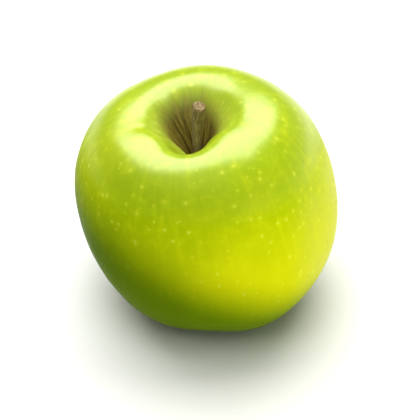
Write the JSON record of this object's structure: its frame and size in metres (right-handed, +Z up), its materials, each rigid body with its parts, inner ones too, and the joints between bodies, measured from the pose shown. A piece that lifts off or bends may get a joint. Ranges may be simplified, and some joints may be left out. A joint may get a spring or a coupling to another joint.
{
  "type": "whole green apple",
  "caption": "Whole green apple standing on its lobed base, with a deep stem cavity, a short woody stem and dried sepals in the basin underneath.",
  "frame": {"origin": "middle of the part's box, seen from above, at the level of the flat spots that it stands on", "axes": "+Z up, from the base towards the stem; -Y towards the side that the picture shows, where a furrow crosses the lip of the stem cavity; +X to the right in the picture"},
  "size_m": [0.0782, 0.0772, 0.07],
  "materials": {
    "skin": "waxy yellow-green fruit skin with fine pale dots",
    "stem_bark": "dry grey-brown bark with a pale cut end",
    "dried_flower": "dry matt grey-brown leaf"
  },
  "bodies": {
    "root": {"fruit": "skin", "stem": "stem_bark", "stamen_tuft": "dried_flower", "sepal_1": "dried_flower", "sepal_2": "dried_flower", "sepal_3": "dried_flower", "sepal_4": "dried_flower", "sepal_5": "dried_flower"}
  },
  "joints": []
}
